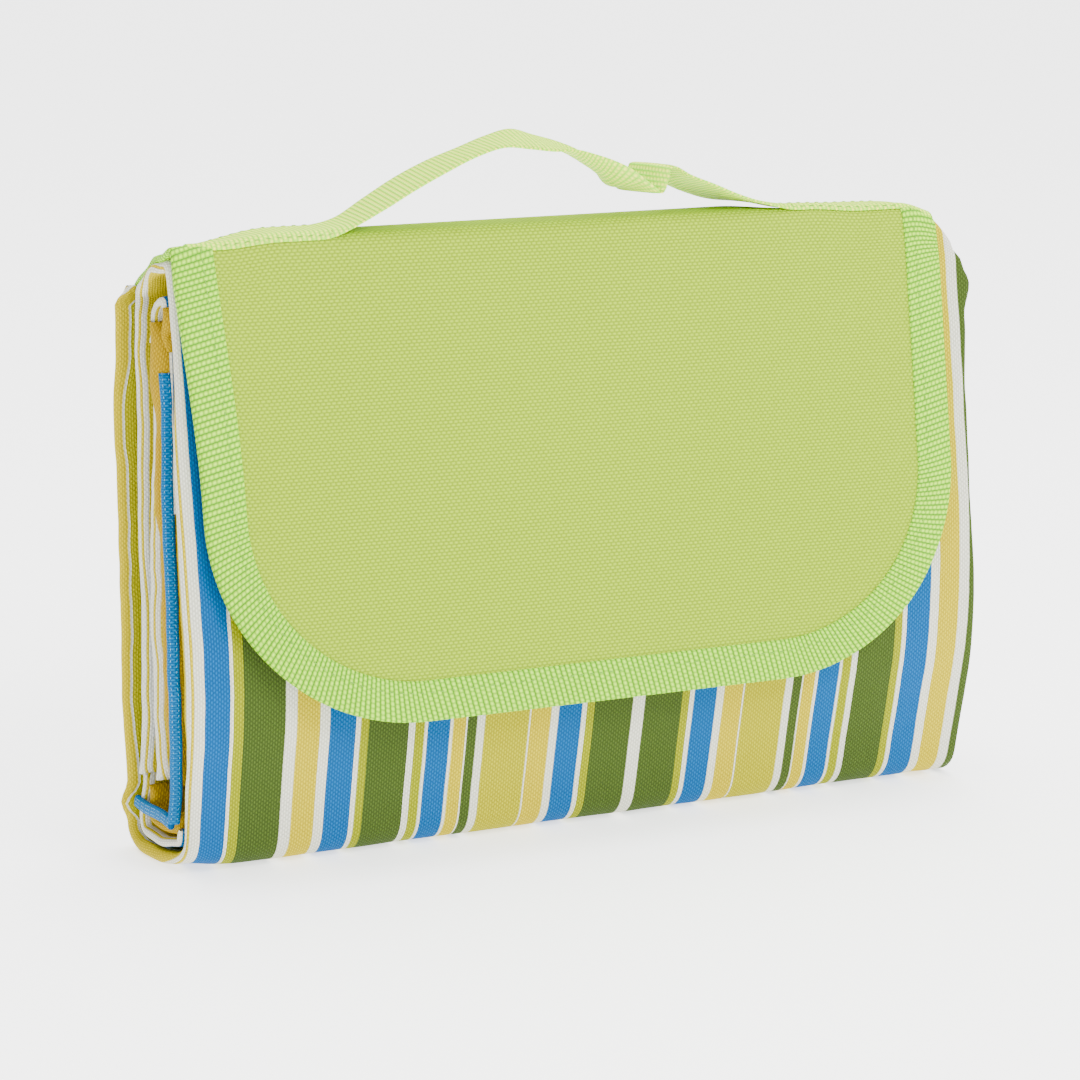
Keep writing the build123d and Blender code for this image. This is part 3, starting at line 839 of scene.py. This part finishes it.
def binding(name, line, nodes, flip=False):
    """Ribbed tape folded round the rim."""
    section = tape_section()
    widths = [0.0]
    for a, b in zip(section, section[1:]):
        widths.append(widths[-1] + math.hypot(b[0] - a[0], b[1] - a[1] - (b[2] - a[2]) * FRONT_THICK))
    rows = []
    lengths = lengths_along(line)
    for p, d, length in zip(line, inward(line, flip), lengths):
        ridge = 0.05 * abs(math.sin(math.pi * length / TAPE_RIB))
        row = []
        for u, h, share in section:
            at = p + d * u
            lift = ridge * (1 if h > 0.3 else -1 if h < -0.3 else 0)
            row.append(flap_point(at.x, at.y, h - share * flap_thick(at.y) + lift))
        rows.append(row)

    def uv(i, j):
        return widths[j] if j < len(widths) else widths[-1] + 3.0, lengths[i]

    points, faces, uvs = grid(rows, uv, ring=True, flip=flip)
    close_ends(faces, uvs, rows, ((0.0, lengths[0]), (0.0, lengths[-1])), turned=flip)
    obj = make_piece(name, points, faces, uvs, TAPE_CLOTH, None, nodes, "webbing")
    attach(obj)


# ---- stitches ----


def stitch_row(places, radius, length):
    """Points and faces of small rounded stitches; places are (middle, direction, up)."""
    rings = 5
    around = 6
    points = []
    faces = []
    for middle, direction, up in places:
        side = direction.cross(up).normalized()
        base = len(points)
        for i in range(rings):
            t = i / (rings - 1)
            along = (t - 0.5) * length
            r = radius * (0.25 + 0.75 * math.sin(math.pi * t) ** 0.6)
            lift = radius * 0.6 * math.sin(math.pi * t)
            for k in range(around):
                a = 2 * math.pi * k / around
                spot = middle + direction * along + side * r * math.cos(a)
                points.append(spot + up * (lift + r * math.sin(a)))
        for i in range(rings - 1):
            for k in range(around):
                m = (k + 1) % around
                faces.append([base + i * around + k, base + i * around + m,
                              base + (i + 1) * around + m, base + (i + 1) * around + k])
        faces.append([base + k for k in reversed(range(around))])
        faces.append([base + (rings - 1) * around + k for k in range(around)])
    return points, faces


def stitch_piece(name, places, sizes, nodes=(), body=None, blend_between=None, pale=False):
    points, faces = stitch_row(places, **sizes)
    material, slot = (PALE_THREAD, "pale_thread") if pale else (GREEN_THREAD, "green_thread")
    obj = make_piece(name, points, faces, None, material, body, nodes, slot)
    if blend_between:
        attach(obj)


def along_line(points, ups, pitch):
    """Stitch places every pitch along 3-D points."""
    places = []
    travelled = 0.0
    due = pitch / 2
    for k in range(1, len(points)):
        step = (points[k] - points[k - 1]).length
        travelled += step
        if travelled >= due:
            places.append((points[k], (points[k] - points[k - 1]).normalized(), ups[k]))
            due += pitch
    return places


def rim_stitches(line, flip=False, below=False):
    """Places of the binding's stitches on the face, or on the lining below it."""
    points = []
    ups = []
    top = TAPE_THICK + 0.2
    for p, d in zip(line, inward(line, flip)):
        at = p + d * (TAPE - TAPE_SEAM)
        height = -flap_thick(at.y) - top if below else top
        here = flap_point(at.x, at.y, height)
        up = (flap_point(at.x, at.y, height + 1) - here).normalized()
        points.append(here)
        ups.append(-up if below else up)
    return along_line(points, ups, STITCH_PITCH)


# ---- handle ----

FLAT_Z = SWING.z + 0.1
WEB_FRONT = SWING.y - WEB / 2
WEB_REAR = SWING.y + WEB / 2
FOLD_REACH = 0.845 * FOLD_RADIUS  # from the corner of the front fold to where its round starts


def over_fold(point):
    """The sewn webbing is pressed round the flap's front fold."""
    sewn = smooth((abs(point.x) - 76) / 16)
    forward = 1.0 if point.x < 0 else 0.0
    start = FOLD.y + LEAN * (SPINE_HIGH.z - FOLD.z) + FOLD_REACH
    reach = start - (point.y - forward)
    if reach <= 0:
        return point - Vector((0, forward * sewn, 0))
    turn = min(reach / FOLD_RADIUS, 1.3)
    down = FOLD_RADIUS * (1 - math.cos(turn))
    bent = Vector((point.x, start - FOLD_RADIUS * math.sin(turn), point.z - down))
    return point.lerp(bent, sewn)


def level(x, z, tilt=0.0):
    """A station of webbing lying across Y, tilted so that its rear edge is higher."""
    return (x, WEB_FRONT, z - tilt), (x, SWING.y, z), (x, WEB_REAR, z + tilt)


def handle_stations():
    """Front edge, middle and rear edge of the webbing, each (x, y, z), from left to right."""
    left = FLAP_MIDDLE - FLAP_HALF + 1.0
    right = FLAP_MIDDLE + FLAP_HALF - 1.0
    stations = [
        level(left, FLAT_Z + 0.2),
        *(level(x, FLAT_Z) for x in (left + 14, -112, -98)),
        level(-89, FLAT_Z + 0.15),
        level(-80, FLAT_Z + 2.0, 0.2),
        level(-70, 230.0, 0.8),
        level(-58, 236.6, 1.0),
        level(-46, 242.2, 0.8),
        level(-34, 246.8, 0.3),
        level(-24, 249.8, 0.8),
        level(-14, 250.4, 2.4),
        level(-5, 248.6, 1.8),
        ((3.5, -5.6, 246.6), (4.0, 4.3, 244.8), (5.0, 13.8, 247.4)),
        ((11.0, -5.2, 244.6), (11.5, 4.4, 240.4), (12.5, 12.8, 244.0)),
        ((18.5, -4.8, 242.0), (18.0, 4.6, 236.4), (17.5, 12.2, 239.0)),
        ((25.5, -4.4, 238.6), (22.5, 4.0, 233.2), (21.0, 11.0, 233.4)),
        ((33.5, -4.2, 232.6), (29.0, 3.2, 231.6), (25.6, 9.8, 231.2)),
        ((37.6, -4.0, 229.9), (32.0, 2.9, 230.2), (26.4, 9.6, 230.6)),
        ((38.4, -4.5, 231.0), (32.8, 2.6, 231.6), (27.2, 9.2, 232.2)),
        ((39.6, -4.6, 235.0), (34.4, 2.8, 235.6), (29.6, 9.0, 236.2)),
        ((40.6, -4.4, 238.4), (35.6, 3.2, 239.0), (31.0, 9.6, 239.2)),
        ((42.6, -4.2, 238.8), (38.2, 3.8, 239.0), (34.2, 10.6, 238.6)),
        ((48.5, -4.8, 235.6), (47.0, 4.0, 234.0), (45.6, 12.4, 231.6)),
        ((57.5, -5.4, 232.0), (56.5, 4.3, 230.0), (55.4, 13.8, 227.4)),
        ((68.0, -5.7, 227.6), (67.0, 4.3, 226.0), (66.0, 14.2, 224.4)),
        level(79, FLAT_Z + 1.4),
        level(89, FLAT_Z + 0.2),
        *(level(x, FLAT_Z) for x in (104, 118, right - 14)),
        level(right, FLAT_Z + 0.2),
    ]
    return [[Vector(p) for p in station] for station in stations]


def through(points, per):
    """Catmull-Rom curve through points, with centripetal spacing."""
    out = []
    knots = [0.0]
    for a, b in zip(points, points[1:]):
        knots.append(knots[-1] + max((b - a).length, 1e-6) ** 0.5)
    for k in range(len(points) - 1):
        p0, p1, p2, p3 = (points[min(max(k + m, 0), len(points) - 1)] for m in (-1, 0, 1, 2))
        t1, t2 = knots[k], knots[k + 1]
        t0 = knots[k - 1] if k > 0 else t1 - (t2 - t1)
        t3 = knots[k + 2] if k + 2 < len(points) else t2 + (t2 - t1)
        count = per[k]
        for i in range(count):
            t = t1 + (t2 - t1) * i / count
            a1 = p0.lerp(p1, (t - t0) / (t1 - t0))
            a2 = p1.lerp(p2, (t - t1) / (t2 - t1))
            a3 = p2.lerp(p3, (t - t2) / (t3 - t2))
            b1 = a1.lerp(a2, (t - t0) / (t2 - t0))
            b2 = a2.lerp(a3, (t - t1) / (t3 - t1))
            out.append(b1.lerp(b2, (t - t1) / (t2 - t1)))
    out.append(points[-1])
    return out


def handle():
    """The webbing: sewn ends and free arch in one strip."""
    stations = handle_stations()
    per = [max(2, round((b[1] - a[1]).length / (0.8 * FINE))) for a, b in zip(stations, stations[1:])]
    fronts, middles, rears = (through([s[k] for s in stations], per) for k in range(3))
    lengths = lengths_along(middles)
    across = 12
    rows = []
    for i, (f, m, r) in enumerate(zip(fronts, middles, rears)):
        ahead = tangent(middles, i)
        top = []
        for j in range(across + 1):
            w = j / across
            # a parabola through the three points
            top.append(f * (1 - w) * (1 - 2 * w) + m * 4 * w * (1 - w) + r * w * (2 * w - 1))
        upper = []
        lower = []
        for j, p in enumerate(top):
            up = ahead.cross(tangent(top, j)).normalized()
            edge = min(j, across - j) / across
            half = WEB_THICK / 2 * (0.55 + 0.45 * smooth(edge * 8))
            upper.append(p + up * half)
            lower.append(p - up * half)
        rows.append([over_fold(p) for p in upper + lower[::-1]])

    def uv(i, j):
        j = min(j, 2 * across + 1)
        w = j if j <= across else 2 * across + 1 - j
        return w * WEB / across, lengths[i]

    points, faces, uvs = grid(rows, uv, ring=True)
    close_ends(faces, uvs, rows)
    obj = make_piece("carry_handle", points, faces, uvs, WEB_CLOTH, None,
                     ("handle_webbing", "handle_anchor_left", "handle_anchor_right"), "webbing")
    attach(obj)


def handle_stitches():
    """Stitch lines along both edges of each sewn end, and across its inner end."""
    along_x, along_y, up = Vector((1, 0, 0)), Vector((0, 1, 0)), Vector((0, 0, 1))
    top = FLAT_Z + WEB_THICK / 2
    places = []
    for side, inner in ((-1, -88.0), (1, 90.0)):
        outer = FLAP_MIDDLE + side * (FLAP_HALF - TAPE)
        low, high = sorted((outer, inner))
        count = int((high - low) / STITCH_PITCH)
        for y in (WEB_FRONT + 0.9, WEB_REAR - 1.4):
            for k in range(count + 1):
                places.append((over_fold(Vector((low + k * STITCH_PITCH, y, top - 0.1))), along_x, up))
        for k in range(5):
            places.append((over_fold(Vector((inner, WEB_FRONT + 2.4 + k * STITCH_PITCH, top))), along_y, up))
    stitch_piece("handle_stitches", places, WEB_STITCH, ("anchor_stitching",), "flap_spine")


# ---- hems in the left end ----


def ribbon(name, line, width, thick, across, node):
    """Flat strip of rolled blue cloth along a 3-D line."""
    around = 14
    side = across.normalized()
    lengths = lengths_along(line)
    rows = []
    for i, p in enumerate(line):
        up = side.cross(tangent(line, i)).normalized()
        row = []
        for k in range(around):
            a = 2 * math.pi * k / around
            # an oval with full corners
            out = math.copysign(abs(math.cos(a)) ** 0.55, math.cos(a)) * width / 2
            high = math.copysign(abs(math.sin(a)) ** 0.8, math.sin(a)) * thick / 2
            row.append(p + side * out + up * high)
        rows.append(row)

    def uv(i, j):
        return j * 2 * (width + thick) / around, lengths[i]

    points, faces, uvs = grid(rows, uv, ring=True)
    close_ends(faces, uvs, rows)
    make_piece(name, points, faces, uvs, BLUE_CLOTH, "mat_bundle", (node,), "blue_fabric")


# Height and X of the long hem.
HEM_KEYS = [
    (18, -150.0), (28, -149.8), (44, -150.4), (60, -151.3), (74, -151.8), (88, -151.2), (101, -150.5),
    (115, -150.1), (135, -149.3), (155, -147.7), (168, -147.0), (178, -146.9),
]


def hem_x(z):
    """X of the long hem at a height."""
    for (z0, x0), (z1, x1) in zip(HEM_KEYS, HEM_KEYS[1:]):
        if z <= z1:
            return x0 + (x1 - x0) * smooth((z - z0) / (z1 - z0))
    return HEM_KEYS[-1][1]


def hem_line(low, high, count=80):
    """Middle of the vertical hem, which follows the front a little unevenly."""
    out = []
    for k in range(count + 1):
        z = low + (high - low) * k / count
        y = front_y(z) + 9.0 + 1.6 * smooth(1 - abs(z - KNEE) / 22)
        out.append(Vector((hem_x(z) + 0.25 * wave(z, 5, 14, 22), y, z)))
    return out


def hem_rows(line, across, out, shifts):
    """Stitch places in rows along a hem; each shift is a row's distance from its middle."""
    places = []
    for shift in shifts:
        shifted = [p + across * shift + out * 1.2 for p in line]
        places += along_line(shifted, [out] * len(line), HEM_PITCH)
    return places


def hems():
    """The mat's rolled blue hem: upright in the left end, and folded back to the rear below."""
    line = hem_line(19.5, 177.0)
    across = Vector((0.97, -0.24, 0))
    ribbon("hem_long", line, 4.4, 2.6, across, "hem_long_edge")
    start = line[0] + Vector((-0.6, 0.5, -0.4))
    stop = Vector((-153.2, 27.5, 18.6))
    slant = [start.lerp(stop, k / 24) + Vector((0, 0, 0.5 * math.sin(k / 4))) for k in range(25)]
    ribbon("hem_short", slant, 4.6, 2.4, Vector((0.10, -0.15, 0.98)), "hem_short_edge")
    places = hem_rows(line, across, Vector((-0.24, -0.97, 0)), (-1.1, 1.1))
    places += hem_rows(slant, Vector((0.1, -0.1, 0.95)), Vector((-0.97, -0.15, 0.2)), (-1.2, 0.1, 1.4))
    stitch_piece("hem_stitches", places, HEM_STITCH, ("hem_stitching",), "mat_bundle", pale=True)


# ---- the flap's pieces ----


def flap():
    """The flap's sheets over the top and in front, which meet under the webbing."""
    face = flap_sheet("flap_face", SPLIT, FLAP_LENGTH, 0, FLAP_CLOTH, "flap_fabric",
                      ("flap_face_fabric", "flap_foam"))
    lining = flap_sheet("flap_inside", SPLIT, FLAP_LENGTH, 1, LINING, "lining", ("flap_lining",))
    spine = flap_sheet("spine_face", 0.0, SPLIT, 0, FLAP_CLOTH, "flap_fabric", ("spine_fabric",))
    under = flap_sheet("spine_inside", 0.0, SPLIT, 1, LINING, "lining", ("spine_lining",))


def bindings():
    """Tape round the flap's rim, in front and over the top, with its stitches."""
    step = 0.4 * (2 * FINE - 1)
    line = rim(SPLIT, step)
    binding("binding_front", line, ("flap_binding",))
    places = rim_stitches(line) + rim_stitches(line, below=True)
    stitch_piece("binding_stitches", places, TAPE_STITCH, ("flap_stitching",), blend_between=FRONT_BLEND)
    for side, word in ((-1, "left"), (1, "right")):
        line = edge_line(0.0, SPLIT, side, step)
        binding(f"binding_rear_{word}", line, (f"spine_binding_{word}",), flip=side > 0)
        places = rim_stitches(line, flip=side > 0)
        stitch_piece(f"binding_rear_stitches_{word}", places, TAPE_STITCH, blend_between=REAR_BLEND)


def rear_seam():
    """Stitch line that joins the flap to the mat's rear panel."""
    places = []
    count = int(2 * (FLAP_HALF - TAPE) / STITCH_PITCH)
    for z in (192.0, 196.0):
        for k in range(count + 1):
            x = FLAP_MIDDLE - FLAP_HALF + TAPE + 1.0 + k * STITCH_PITCH
            places.append((Vector((x, REAR + 1.65, z)), Vector((1, 0, 0)), Vector((0, 1, 0))))
    stitch_piece("rear_seam_stitches", places, SEAM_STITCH, ("rear_seam_stitching",), "mat_bundle")


def fasteners():
    """The hook and loop strips and their stitches keep their CAD shape."""
    strips = [f"{kind}_strip_{side}" for kind in ("loop", "hook") for side in ("left", "right")]
    for names, material in ((strips, PILE), (["loop_stitching", "hook_stitching"], GREEN_THREAD)):
        for name in names:
            mesh = frame["nodes"][name].data
            mesh.materials.clear()
            mesh.materials.append(material)


# ---- camera, floor and light ----


def camera():
    """Seen from the front left and a little above."""
    data = bpy.data.cameras.new("camera")
    data.lens = 110.0
    data.sensor_width = 36.0
    data.clip_end = 20.0
    eye = linked("camera", data)
    yaw = math.radians(23.71)
    pitch = math.radians(13.0)
    forward = Vector((math.sin(yaw) * math.cos(pitch), math.cos(yaw) * math.cos(pitch), -math.sin(pitch)))
    target = Vector((-0.0193, -0.0248, 0.1125))
    distance = 1.162
    eye.location = target - forward * distance
    eye.rotation_euler = forward.to_track_quat("-Z", "Y").to_euler()
    bpy.context.scene.camera = eye


def floor():
    """White floor that gives off a little light, as a lit table does."""
    bpy.ops.mesh.primitive_plane_add(size=60.0, location=(0, 0, 0))
    plane = bpy.context.object
    plane.name = "floor"
    shader = Shader("white_floor")
    shader.put(shader.bsdf.inputs["Base Color"], (0.96, 0.96, 0.96, 1.0))
    shader.bsdf.inputs["Emission Color"].default_value = (1.0, 1.0, 1.0, 1.0)
    shader.bsdf.inputs["Emission Strength"].default_value = 1.6
    shader.bsdf.inputs["Roughness"].default_value = 0.6
    shader.bsdf.inputs["Specular IOR Level"].default_value = 0.1
    plane.data.materials.append(shader.material)


def light(name, kind, place, target, power, size):
    """A lamp aimed at a target; size is a disc's diameter in metres, or a sun's angle."""
    data = bpy.data.lights.new(name, kind)
    data.energy = power
    if kind == "AREA":
        data.shape = "DISK"
        data.size = size
    else:
        data.angle = size
    lamp = linked(name, data)
    lamp.location = place
    lamp.rotation_euler = (Vector(target) - Vector(place)).to_track_quat("-Z", "Y").to_euler()


def lights():
    world = bpy.data.worlds.new("studio")
    world.use_nodes = True
    background = world.node_tree.nodes["Background"]
    background.inputs["Color"].default_value = (1.0, 1.0, 1.0, 1.0)
    background.inputs["Strength"].default_value = 0.95
    bpy.context.scene.world = world
    light("key", "AREA", (0.55, -1.4, 1.4), (0, 0, 0.1), 42.0, 0.9)
    light("top", "AREA", (0.2, 0.2, 1.8), (0, 0, 0.1), 16.0, 1.4)
    light("side", "AREA", (1.4, -0.8, 0.8), (0, 0, 0.1), 5.0, 0.8)
    light("sky", "SUN", (0, 0, 0), (-0.12, -0.28, -1.0), 5.0, math.radians(70))


camera()
floor()
lights()
outer_wrap()
inner_folds()
core_folds()
hems()
flap()
bindings()
handle()
handle_stitches()
rear_seam()
fasteners()
